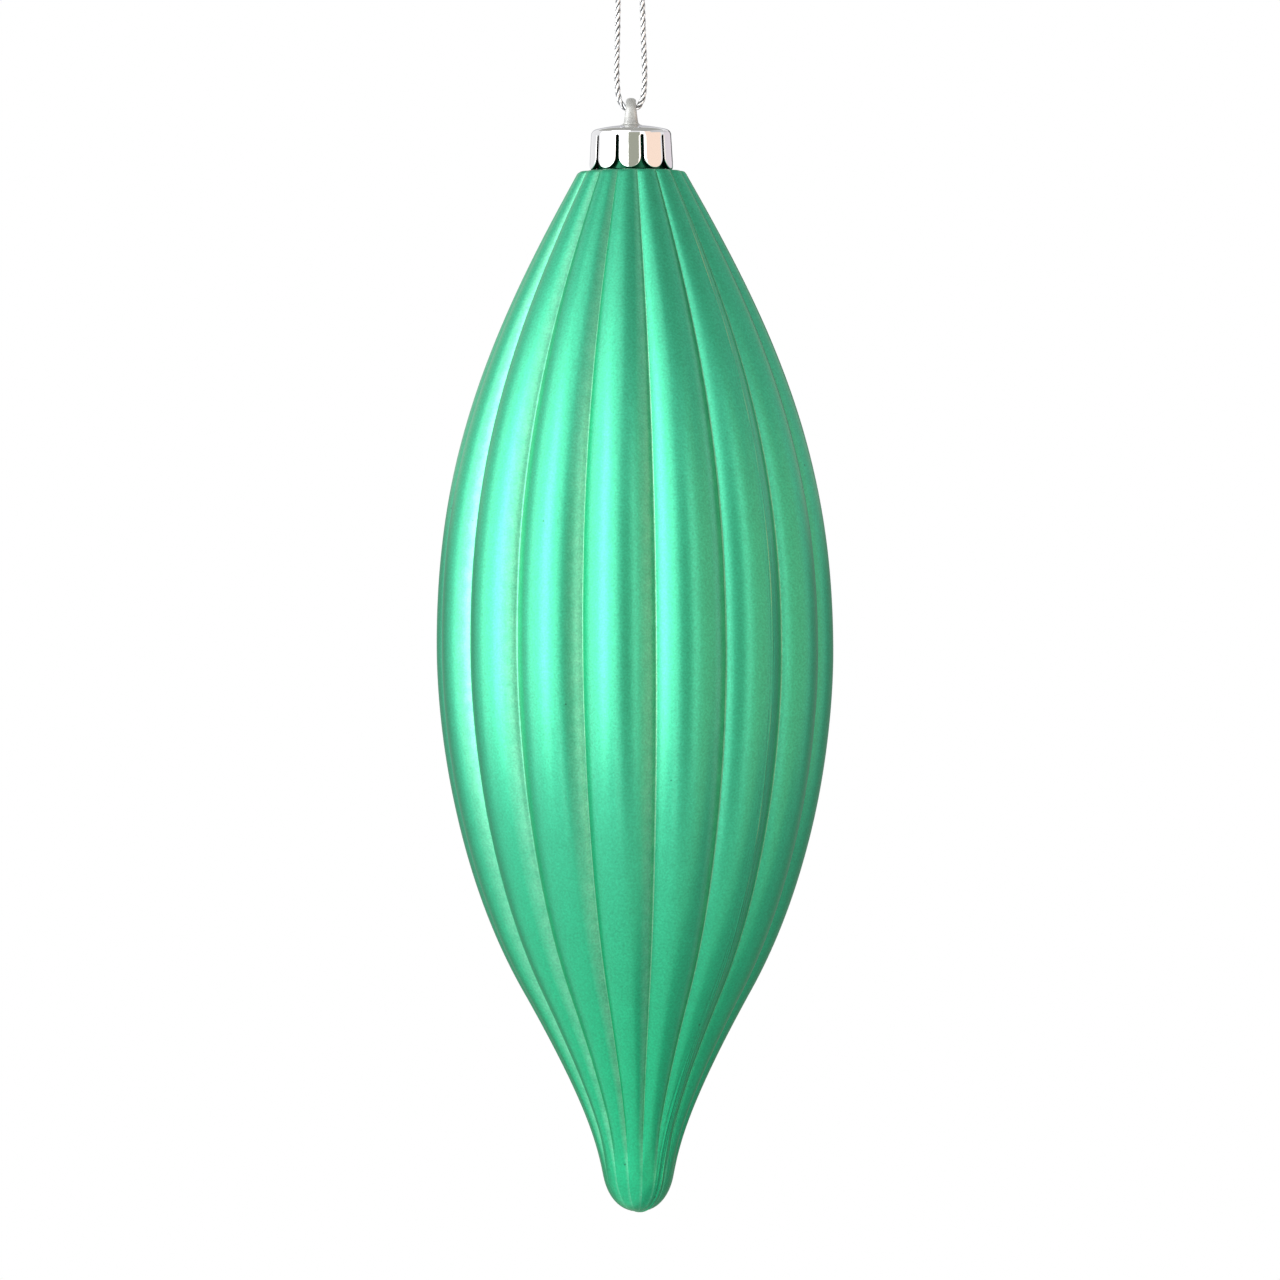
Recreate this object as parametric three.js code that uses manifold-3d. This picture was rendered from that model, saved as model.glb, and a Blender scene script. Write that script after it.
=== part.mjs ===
// A hanging finial ornament: a fluted, spindle-shaped, hollow blown shell with an open neck, a
// plated cap whose ten spring fingers grip that neck, and a metallic cord through the cap's eyelet.
// Millimetres, +Z up. The origin is the hang point, the top of a hook's wire inside the cord's loop.
import * as THREE from 'three';
import * as BufferGeometryUtils from 'three/addons/utils/BufferGeometryUtils.js';
import Module from 'manifold-3d';

const wasm = await Module();
wasm.setup();

// Cord and knot
const cordDiameter = 1.05;
const cordSides = 8;
const cordSteps = 48;
const tailSteps = 4;
const knotRows = 4;
const knotColumns = 12;
const cordToKnotGap = 0.3;
const knotHeight = 3.2;
const knotRadius = 1.45;
const knotFootRadius = 1.15;
const knotCrownRadius = 0.9;
const wrapTilt = 24;
const wrapSpacing = 0.95;
const tailLength = 3.2;
const tailRoot = 0.2;
const tailLean = 1.3;

// Half of the loop, as [distance from the middle, height]: from the knot, round the hook, down one
// strand and under the eyelet's bar. The other half mirrors it.
const loopHalf = [
  [0.62, 1.75], [0.68, 1.15], [0.98, 0.48], [1.43, -0.07], [1.84, -0.85], [2.06, -1.9],
  [2.17, -3.4], [2.23, -5.5], [2.33, -9.5], [2.44, -13.5], [2.55, -17.0], [2.5, -19.2],
  [2.34, -21.1], [2.14, -22.15], [1.78, -23.0], [1.28, -23.62], [0.68, -23.98], [0, -24.1],
];

// Cap with its eyelet
const cordToBarGap = 0.2;
const eyeletHole = 3.2;
const eyeletBarDepth = 1.35;
const eyeletBarWidth = 1.85;
const eyeletBaseWidth = 2.75;
const eyeletSink = 0.95;
const capHeight = 8.1;
const capTopRadius = 7.3;
const capBottomRadius = 7.66;
const capWall = 0.85;
const capTopThickness = 1.7;
const domeRise = 0.85;
const rimRise = 0.25;
const capRimRound = 1.1;
const fingerCount = 10;
const slotWidth = 0.65;
const slotBelowCeiling = 0.4;
const slotPhase = 16;
const fingertipFlat = 0.03;
const fingerColumns = 5;
const capRows = 3;
const fingertipSteps = 4;
const eyeletSides = 10;
const eyeletSteps = 24;

// Fit of the cap on the shell's neck
const neckFit = 0.3;
const capToShoulderGap = 0.35;

// Shell. Depths are measured down from the shoulder, heights up from the tip, and radii to the
// lobes' crests. A reach is how far a curve holds its direction.
const shellWall = 1.4;
const neckWall = 1.1;
const neckLipRound = 0.4;
const neckRootRound = 0.7;
const shoulderRadius = 9.73;
const shoulderCorner = 1.0;
const flankSlope = 0.563;
const flankReach = 30.8;
const widestRadius = 36.26;
const widestDepth = 86.7;
const widestReachUp = 33.2;
const widestReachDown = 18.2;
const turnRadius = 20.95;
const turnHeight = 40.4;
const turnSlope = -0.562;
const turnReachUp = 19.3;
const turnReachDown = 20.5;
const nubRadius = 6.4;
const nubHeight = 6.5;
const nubSlope = -0.196;
const nubReachUp = 6;
const nubRound = 3.6;
const bodyLength = 189.5;

// Flutes: convex lobes that meet in sharp grooves
const lobeCount = 16;
const grooveDepth = 2.7;
const groovePhase = 6.5;
const fluteFadeTop = 17;
const fluteFadeFoot = 5.5;
const lobeColumns = 6;
const boreLobeColumns = 3;

// Heights that follow from those sizes
const cordRadius = cordDiameter / 2;
const cordLowest = loopHalf[loopHalf.length - 1][1];
const knotBase = loopHalf[0][1] + cordToKnotGap;
const eyeletTop = cordLowest + cordRadius + cordToBarGap + eyeletBarDepth;
const eyeletRadius = (eyeletHole + eyeletBarDepth) / 2;
const eyeletCentre = eyeletTop - eyeletBarDepth / 2 - eyeletRadius;
const domeTop = eyeletTop - eyeletHole - 2 * eyeletBarDepth + eyeletSink;
const ceiling = domeTop - capTopThickness;
const fingertips = domeTop - capHeight;
const neckTop = ceiling - neckFit;
const shoulder = fingertips - capToShoulderGap;
const tip = shoulder - bodyLength;

const radians = THREE.MathUtils.degToRad;

// A closed geometry as a solid: shared corners are merged and collapsed triangles left out
function solidFrom(geometry) {
  const bare = geometry.clone();
  bare.deleteAttribute('normal');
  bare.deleteAttribute('uv');
  const merged = BufferGeometryUtils.mergeVertices(bare, 1e-4);
  const corners = merged.index.array;
  const triangles = [];
  for (let i = 0; i < corners.length; i += 3) {
    const [a, b, c] = [corners[i], corners[i + 1], corners[i + 2]];
    if (a !== b && b !== c && c !== a) triangles.push(a, b, c);
  }
  return new wasm.Manifold(new wasm.Mesh({
    numProp: 3,
    vertProperties: new Float32Array(merged.attributes.position.array),
    triVerts: new Uint32Array(triangles),
  }));
}

function geometryFrom(solid) {
  const mesh = solid.getMesh();
  const geometry = new THREE.BufferGeometry();
  geometry.setAttribute('position', new THREE.BufferAttribute(mesh.vertProperties, mesh.numProp));
  geometry.setIndex(new THREE.BufferAttribute(mesh.triVerts, 1));
  geometry.computeVertexNormals();
  return geometry;
}

// Each vertex moved to the place that the function gives for it
function reshape(geometry, move) {
  const position = geometry.attributes.position;
  const point = new THREE.Vector3();
  for (let i = 0; i < position.count; i++) {
    point.fromBufferAttribute(position, i);
    move(point);
    position.setXYZ(i, point.x, point.y, point.z);
  }
  return geometry;
}

// A revolved solid standing on Z, with its first column at the given angle from -Y towards +X
function revolve(outline, columns, phase = 0) {
  return new THREE.LatheGeometry(outline, columns, radians(phase)).rotateX(Math.PI / 2);
}

// A round tube along a curve, closed at both ends
function tubeAlong(curve, radius, steps) {
  const section = new THREE.Shape();
  for (let i = 0; i < cordSides; i++) {
    const turn = (2 * Math.PI * i) / cordSides;
    const corner = [radius * Math.cos(turn), radius * Math.sin(turn)];
    if (i === 0) section.moveTo(...corner);
    else section.lineTo(...corner);
  }
  return new THREE.ExtrudeGeometry(section, { steps, extrudePath: curve });
}

// The cord's free stretch: from the knot down one strand, through the eyelet and up the other
function hangingCord() {
  const down = loopHalf.map(([x, z]) => new THREE.Vector3(-x, 0, z));
  const up = loopHalf.slice(0, -1).reverse().map(([x, z]) => new THREE.Vector3(x, 0, z));
  const route = new THREE.CatmullRomCurve3([...down, ...up]);
  return tubeAlong(route, cordRadius, cordSteps);
}

// The knot: a core with two turns of cord wrapped round it, tilted against each other, and two tails
function cordKnot() {
  const core = new THREE.Path();
  core.moveTo(0, knotBase);
  const knotTop = knotBase + knotHeight;
  const knotMiddle = knotBase + knotHeight / 2;
  core.lineTo(knotFootRadius, knotBase);
  core.quadraticCurveTo(knotRadius, knotMiddle, knotCrownRadius, knotTop);
  core.lineTo(0, knotTop);
  let knot = solidFrom(revolve(core.getPoints(knotRows), knotColumns));
  for (const side of [-1, 1]) {
    const wrap = new THREE.TorusGeometry(knotRadius - cordRadius / 2, cordRadius, cordSides, knotColumns);
    wrap.rotateY(side * radians(wrapTilt));
    wrap.translate(0, 0, knotMiddle + (side * wrapSpacing) / 2);
    knot = knot.add(solidFrom(wrap));
    const tail = new THREE.QuadraticBezierCurve3(
      new THREE.Vector3(side * tailRoot, 0, knotTop - cordDiameter),
      new THREE.Vector3(side * cordRadius, 0, knotTop + tailLength / 2),
      new THREE.Vector3(side * tailLean, 0, knotTop + tailLength),
    );
    knot = knot.add(solidFrom(tubeAlong(tail, cordRadius, tailSteps)));
  }
  return geometryFrom(knot);
}

// The cap's outside radius at a height: its skirt flares a little towards the fingertips
function capRadius(z) {
  return THREE.MathUtils.mapLinear(z, domeTop - domeRise, fingertips, capTopRadius, capBottomRadius);
}

// Dome and skirt in one revolve, from the ceiling down the inside and up the outside
function capCup() {
  const rim = domeTop - domeRise;
  const cup = new THREE.Path();
  cup.moveTo(0, ceiling);
  cup.lineTo(capRadius(ceiling) - capWall, ceiling);
  cup.lineTo(capBottomRadius - capWall, fingertips);
  cup.lineTo(capBottomRadius, fingertips);
  cup.lineTo(capRadius(rim - capRimRound), rim - capRimRound);
  cup.quadraticCurveTo(capTopRadius, rim, capTopRadius - capRimRound, rim + rimRise);
  cup.quadraticCurveTo((capTopRadius - capRimRound) / 2, domeTop, 0, domeTop);
  return solidFrom(revolve(cup.getPoints(capRows), fingerColumns * fingerCount));
}

// What is cut between two fingers: a narrow slot with a round top, which opens out below round the
// two full-round fingertips. It is drawn flat, then bent round the skirt.
function fingerGap(angle) {
  const halfPitch = (Math.PI * capBottomRadius) / fingerCount;
  const tipRadius = halfPitch - slotWidth / 2;
  const tipCentre = fingertips + tipRadius - fingertipFlat;
  const slotTop = ceiling - slotBelowCeiling - slotWidth / 2;
  const below = fingertips - capWall;
  const gap = new THREE.Shape();
  gap.moveTo(-halfPitch, below);
  gap.absarc(-halfPitch, tipCentre, tipRadius, -Math.PI / 2, 0, false);
  gap.absarc(0, slotTop, slotWidth / 2, Math.PI, 0, true);
  gap.absarc(halfPitch, tipCentre, tipRadius, Math.PI, 1.5 * Math.PI, false);
  gap.lineTo(halfPitch, below);
  const inside = capTopRadius - 2 * capWall;
  const depth = capBottomRadius + capWall - inside;
  const curveSegments = fingertipSteps;
  const cutter = new THREE.ExtrudeGeometry(gap, { depth, bevelEnabled: false, curveSegments });
  return solidFrom(reshape(cutter, (p) => {
    const turn = radians(angle) + p.x / capBottomRadius;
    const radius = inside + p.z;
    p.set(radius * Math.sin(turn), -radius * Math.cos(turn), p.y);
  }));
}

// The eyelet: an oval-section ring seen edge-on from the front, broader where it sinks in the dome
function eyelet() {
  const ring = new THREE.TorusGeometry(eyeletRadius, eyeletBarDepth / 2, eyeletSides, eyeletSteps);
  ring.rotateY(Math.PI / 2);
  ring.translate(0, 0, eyeletCentre);
  return solidFrom(reshape(ring, (p) => {
    const down = (eyeletTop - p.z) / (eyeletTop - domeTop);
    const width = eyeletBarWidth + (eyeletBaseWidth - eyeletBarWidth) * down * down;
    p.x *= width / eyeletBarDepth;
  }));
}

function hangerCap() {
  let cap = capCup().add(eyelet());
  for (let i = 0; i < fingerCount; i++) {
    cap = cap.subtract(fingerGap(slotPhase + (360 * i) / fingerCount));
  }
  return geometryFrom(cap);
}

// The body's outline from the tip up to the shoulder's corner, as curves of radius and height with
// the number of steps that each is drawn with outside and on the bore
function bodyCurves() {
  const below = (radius, depth) => new THREE.Vector2(radius, shoulder - depth);
  const above = (radius, height) => new THREE.Vector2(radius, tip + height);
  const nubTop = above(nubRadius, nubHeight);
  const turn = above(turnRadius, turnHeight);
  const widest = below(widestRadius, widestDepth);
  const flankTop = below(shoulderRadius + flankSlope * shoulderCorner, shoulderCorner);
  return [
    [new THREE.CubicBezierCurve(
      above(0, 0),
      above(nubRound, 0),
      above(nubRadius + nubSlope * nubRound, nubHeight - nubRound),
      nubTop,
    ), 5, 3],
    [new THREE.CubicBezierCurve(
      nubTop,
      above(nubRadius - nubSlope * nubReachUp, nubHeight + nubReachUp),
      above(turnRadius + turnSlope * turnReachDown, turnHeight - turnReachDown),
      turn,
    ), 6, 5],
    [new THREE.CubicBezierCurve(
      turn,
      above(turnRadius - turnSlope * turnReachUp, turnHeight + turnReachUp),
      below(widestRadius, widestDepth + widestReachDown),
      widest,
    ), 8, 6],
    [new THREE.CubicBezierCurve(
      widest,
      below(widestRadius, widestDepth - widestReachUp),
      below(shoulderRadius + flankSlope * flankReach, flankReach),
      flankTop,
    ), 9, 7],
  ];
}

// The crests' radius at a vertex swapped for the radius of a lobe there. A lobe's section is an arc
// through two grooves and the crest between them. It is the same all the way down, to scale, and
// fades out over the nub and across the shoulder.
function flute(geometry) {
  const half = Math.PI / lobeCount;
  const share = grooveDepth / widestRadius;
  return reshape(geometry, (p) => {
    const crest = Math.hypot(p.x, p.y);
    const overNub = THREE.MathUtils.smoothstep(p.z - tip, fluteFadeFoot, fluteFadeTop);
    const overShoulder = THREE.MathUtils.smoothstep(crest, capBottomRadius, shoulderRadius);
    const fade = overNub * overShoulder;
    if (p.z > shoulder + neckRootRound || fade === 0) return;
    const groove = crest * (1 - share * fade);
    const centre = (crest ** 2 - groove ** 2) / (2 * (crest - groove * Math.cos(half)));
    const arc = crest - centre;
    const turn = Math.atan2(p.x, -p.y) - radians(groovePhase);
    const fromCrest = THREE.MathUtils.euclideanModulo(turn, 2 * half) - half;
    const across = centre * Math.sin(fromCrest);
    const radius = centre * Math.cos(fromCrest) + Math.sqrt(arc ** 2 - across ** 2);
    p.x *= radius / crest;
    p.y *= radius / crest;
  });
}

// The shell's outside: the body, its rounded shoulder and the neck that the cap's fingers grip
function shellOutside() {
  const outline = [];
  for (const [curve, steps] of bodyCurves()) outline.push(...curve.getPoints(steps).slice(0, -1));
  const rootRadius = capBottomRadius - capWall - neckFit;
  const lipRadius = capRadius(neckTop) - capWall - neckFit;
  const top = new THREE.Path();
  top.moveTo(shoulderRadius + flankSlope * shoulderCorner, shoulder - shoulderCorner);
  top.quadraticCurveTo(shoulderRadius, shoulder, shoulderRadius - shoulderCorner, shoulder);
  top.lineTo(rootRadius + neckRootRound, shoulder);
  top.quadraticCurveTo(rootRadius, shoulder, rootRadius, shoulder + neckRootRound);
  top.lineTo(lipRadius, neckTop - neckLipRound);
  top.quadraticCurveTo(lipRadius, neckTop, lipRadius - neckLipRound, neckTop);
  top.lineTo(0, neckTop);
  outline.push(...top.getPoints(2));
  return solidFrom(flute(revolve(outline, lobeCount * lobeColumns, groovePhase)));
}

// The shell's hollow, one wall inside the body, with the bore that opens it at the neck's lip
function shellHollow() {
  const outline = [];
  for (const [curve, , steps] of bodyCurves()) {
    for (let i = 0; i < steps; i++) {
      const tangent = curve.getTangent(i / steps);
      const inward = new THREE.Vector2(-tangent.y, tangent.x).multiplyScalar(shellWall);
      outline.push(curve.getPoint(i / steps).add(inward));
    }
  }
  const bore = capRadius(neckTop) - capWall - neckFit - neckWall;
  outline.push(
    new THREE.Vector2(shoulderRadius - shoulderCorner, shoulder - shellWall),
    new THREE.Vector2(bore, shoulder - shellWall / 2),
    new THREE.Vector2(bore, neckTop + neckWall),
    new THREE.Vector2(0, neckTop + neckWall),
  );
  outline[0].x = 0;
  return solidFrom(flute(revolve(outline, lobeCount * boreLobeColumns, groovePhase)));
}

function bodyShell() {
  return geometryFrom(shellOutside().subtract(shellHollow()));
}

function named(name, geometry, material) {
  const mesh = new THREE.Mesh(geometry, new THREE.MeshStandardMaterial(material));
  mesh.name = name;
  return mesh;
}

const ornament = new THREE.Group();
ornament.add(
  named('body_shell', bodyShell(), { color: 0x4db391, roughness: 0.42, metalness: 0.35 }),
  named('hanger_cap', hangerCap(), { color: 0xdfe0de, roughness: 0.06, metalness: 1 }),
  named('hanging_cord', hangingCord(), { color: 0xc3c5c8, roughness: 0.35, metalness: 0.7 }),
  named('cord_knot', cordKnot(), { color: 0xc3c5c8, roughness: 0.35, metalness: 0.7 }),
);

export default ornament;
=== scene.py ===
import math

import bmesh
import bpy
from mathutils import Matrix, Vector, noise
from mathutils.geometry import interpolate_bezier


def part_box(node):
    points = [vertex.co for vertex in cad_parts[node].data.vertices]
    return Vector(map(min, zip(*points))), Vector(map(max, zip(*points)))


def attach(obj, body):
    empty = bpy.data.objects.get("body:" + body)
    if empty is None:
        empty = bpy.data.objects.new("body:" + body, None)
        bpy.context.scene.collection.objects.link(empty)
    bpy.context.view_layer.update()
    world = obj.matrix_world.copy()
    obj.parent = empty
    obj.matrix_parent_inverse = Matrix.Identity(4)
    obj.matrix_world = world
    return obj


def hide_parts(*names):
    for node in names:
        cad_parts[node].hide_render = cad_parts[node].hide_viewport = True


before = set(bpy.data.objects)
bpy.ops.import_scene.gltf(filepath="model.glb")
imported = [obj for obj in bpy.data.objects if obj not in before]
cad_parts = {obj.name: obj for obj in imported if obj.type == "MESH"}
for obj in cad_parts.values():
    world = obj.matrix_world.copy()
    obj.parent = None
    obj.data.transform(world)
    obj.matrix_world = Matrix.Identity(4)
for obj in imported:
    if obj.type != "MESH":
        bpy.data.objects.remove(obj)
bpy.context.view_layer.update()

# Lengths below are in millimetres and angles in degrees, where nothing else is said
mm = 0.001
weld = 1e-4        # points nearer to each other than this are one
tiny = 1e-6
partingTurn = 43        # from +X round to the direction across the mould's parting
partingNormal = Matrix.Rotation(math.radians(partingTurn), 3, "Z") @ Vector((1, 0, 0))


# Helpers

# From a colour as it is seen on a screen to the linear values that Blender works in
def linear(hexColour):
    channels = [int(hexColour[i:i + 2], 16) / 255 for i in (1, 3, 5)]
    return (*(c / 12.92 if c <= 0.04045 else ((c + 0.055) / 1.055) ** 2.4 for c in channels), 1)


# Adds a node; an input is given by its name or number, as a value or as the socket that feeds it
def addNode(tree, kind, settings=None, inputs=None):
    node = tree.nodes.new("ShaderNode" + kind)
    for name, value in (settings or {}).items():
        setattr(node, name, value)
    for name, value in (inputs or {}).items():
        if isinstance(value, bpy.types.NodeSocket):
            tree.links.new(value, node.inputs[name])
        else:
            node.inputs[name].default_value = value
    return node


def addNoise(tree, place, scale, detail, roughness=0.5):
    node = addNode(tree, "TexNoise", {}, {
        "Vector": place, "Scale": scale, "Detail": detail, "Roughness": roughness})
    return node.outputs["Fac"]


# Carries a value over from one range to another, and holds it at the ends
def remap(tree, value, source, target, curve="LINEAR"):
    node = addNode(tree, "MapRange", {"interpolation_type": curve}, {
        "Value": value, "From Min": source[0], "From Max": source[1],
        "To Min": target[0], "To Max": target[1]})
    return node.outputs["Result"]


def multiply(tree, first, second):
    return addNode(tree, "Math", {"operation": "MULTIPLY"}, {0: first, 1: second}).outputs["Value"]


def mixColours(tree, share, first, second):
    return addNode(tree, "Mix", {"data_type": "RGBA"}, {0: share, 6: first, 7: second}).outputs[2]


def colourRamp(tree, value, colours, stops=(0, 1)):
    node = addNode(tree, "ValToRGB", {}, {"Fac": value})
    for element, colour, stop in zip(node.color_ramp.elements, colours, stops):
        element.position = stop
        element.color = linear(colour)
    return node.outputs["Color"]


def addBump(tree, height, strength, depth, onto=None):
    node = addNode(tree, "Bump", {}, {"Height": height, "Strength": strength, "Distance": depth * mm})
    if onto is not None:
        tree.links.new(onto, node.inputs["Normal"])
    return node.outputs["Normal"]


def newMaterial(name):
    material = bpy.data.materials.new(name)
    material.use_nodes = True
    material.node_tree.nodes.clear()
    return material, material.node_tree


# Ends a material with one surface and its output
def closeMaterial(tree, inputs):
    skin = addNode(tree, "BsdfPrincipled", {}, inputs)
    addNode(tree, "OutputMaterial", {}, {"Surface": skin.outputs["BSDF"]})


def smoothStep(value, low, high):
    share = min(max((value - low) / (high - low), 0), 1)
    return share * share * (3 - 2 * share)


def finishPiece(bm, name, materials, body, node, sharpAngle=55):
    for face in bm.faces:
        face.smooth = True
    for edge in bm.edges:
        if len(edge.link_faces) == 2:
            edge.smooth = edge.calc_face_angle() < math.radians(sharpAngle)
    mesh = bpy.data.meshes.new(name)
    bm.to_mesh(mesh)
    bm.free()
    for material in materials:
        mesh.materials.append(material)
    piece = bpy.data.objects.new(name, mesh)
    bpy.context.scene.collection.objects.link(piece)
    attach(piece, body)
    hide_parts(node)
    return piece


# Camera: square on to the ornament, from 1.4 m, with the photograph's small roll
camera = {
    "distance": 1400,
    "frameWidth": 233.26,
    "sensorWidth": 36,
    "aimX": 0.97,
    "aimZ": -120.8,
    "roll": 0.40,
    "clipEnd": 50000,
}


def makeCamera():
    data = bpy.data.cameras.new("camera")
    data.sensor_width = camera["sensorWidth"]
    data.lens = camera["sensorWidth"] * camera["distance"] / camera["frameWidth"]
    data.clip_end = camera["clipEnd"] * mm
    holder = bpy.data.objects.new("camera", data)
    bpy.context.scene.collection.objects.link(holder)
    roll = math.radians(camera["roll"])
    right = Vector((math.cos(roll), 0, -math.sin(roll)))
    up = Vector((math.sin(roll), 0, math.cos(roll)))
    turn = Matrix((right, up, right.cross(up))).transposed().to_4x4()
    place = Vector((camera["aimX"], -camera["distance"], camera["aimZ"])) * mm
    holder.matrix_world = Matrix.Translation(place) @ turn
    bpy.context.scene.camera = holder


makeCamera()
print("camera placed")


# Materials, where a range called Noise is what a texture gives, and is carried over to the next range

# Metallic yarn, foil-wrapped and twisted: bright silver flashes, with painted shade in the gaps of the
# lay
yarn = {
    "brightColour": "#f4f5f6",
    "dullColour": "#9b9ea2",
    "gapShadeColour": "#191b1d",
    "ribs": {"Scale": 0.9, "Distortion": 1.5, "Detail": 1.0, "Detail Scale": 2.0},
    "ribStrength": 0.6,
    "ribDepth": 0.05,
    "glintScale": 2.2,
    "glintDetail": 3.0,
    "glintStops": (0.35, 0.6),
    "outOfGap": (0.35, 0.49),        # distances from the cord's middle
    "metallic": 0.85,
    "roughnessNoise": (0.3, 0.7),
    "roughness": (0.36, 0.2),
}


def silverYarn():
    material, tree = newMaterial("silver foil yarn, twisted")
    uv = addNode(tree, "UVMap", {"uv_map": "yarn"}).outputs["UV"]
    # The foil's wraps show as slanting ribs, about 0.7 mm apart along a ply
    ribs = addNode(tree, "TexWave", {"wave_type": "BANDS", "bands_direction": "DIAGONAL"}, {
        "Vector": uv, **yarn["ribs"]}).outputs["Fac"]
    glint = addNoise(tree, uv, yarn["glintScale"], yarn["glintDetail"])
    tone = colourRamp(tree, glint, (yarn["dullColour"], yarn["brightColour"]), yarn["glintStops"])
    # Painted shade: towards the middle of the cord, between its plies, the foil is darkened
    fromMiddle = addNode(tree, "Attribute", {"attribute_name": "fromMiddle"}).outputs["Fac"]
    outer = remap(tree, fromMiddle, yarn["outOfGap"], (0, 1), "SMOOTHSTEP")
    closeMaterial(tree, {
        "Base Color": mixColours(tree, outer, linear(yarn["gapShadeColour"]), tone),
        "Metallic": yarn["metallic"],
        "Roughness": remap(tree, glint, yarn["roughnessNoise"], yarn["roughness"]),
        "Normal": addBump(tree, ribs, yarn["ribStrength"], yarn["ribDepth"])})
    return material


# Satin pearl lacquer, sprayed: coloured metal flake under a clear satin coat, which gives broad
# # green highlights with a little white on them, and pulls thin along the grooves. Beside the grooves,
# # on the parting line and towards the nub, some light and shade is painted into the colour
pearl = {
    "colour": "#33aa82",
    # painted shade towards the nub
    "nubShadeColour": "#12aa76",
    "edgeColour": "#5fc9a0",        # of the metal flake seen aslant
    "metallic": 0.8,
    "roughness": (0.37, 0.31),
    "coat": 0.62,
    "coatRoughness": 0.26,
    "grainSize": 0.37,
    "grainDetail": 2.0,
    "grainRoughness": 0.6,
    "grainNoise": (0.25, 0.75),
    "grainShade": (0.8, 1.2),
    "mottleSize": 4.0,
    "mottleDetail": 3.0,
    "mottleNoise": (0.3, 0.7),
    "mottleShade": (0.97, 1.03),
    "nubRampHeights": (-205, -140),        # from the deeper colour up to the paler
    # beside a groove: strength, reach, colour
    "pastGroove": (0.35, 0.24, "#b5a692"),
    # the pale band is partly painted light, bounced off the neighbouring lobe
    "beforeGroove": (0.36, 3.4, "#95dfba"),
    "grooveCore": 0.2,        # share of the reach at full strength
    "patchSize": 2.0,
    "patchDetail": 2.0,
    "patchNoise": (0.3, 0.65),
    "patchCover": (0.6, 1.0),
    # a painted highlight on the parting line's ridge
    "seamHighlightColour": "#dcd39a",
    "seamProud": (0.5, 1.0),        # shares of the ridge's height
    "seamHighlight": 0.45,
    "seamHighlightAtNub": 0.25,
    "speckSpacing": 7.0,
    "speckSize": 0.24,
    "speckCore": 0.5,        # share of a speck at full shade
    "speckShade": 0.35,
    "streakWidth": 0.35,
    "streakDetail": 1.0,
    "streakReach": 2.6,
    "streakStretch": 0.02,        # how slowly the streaks change downwards
    "streakDepth": 0.5,
    "streakAboveNub": 0.3,
    "peelStrength": 0.6,
    "peelDepth": 0.03,
}


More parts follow.
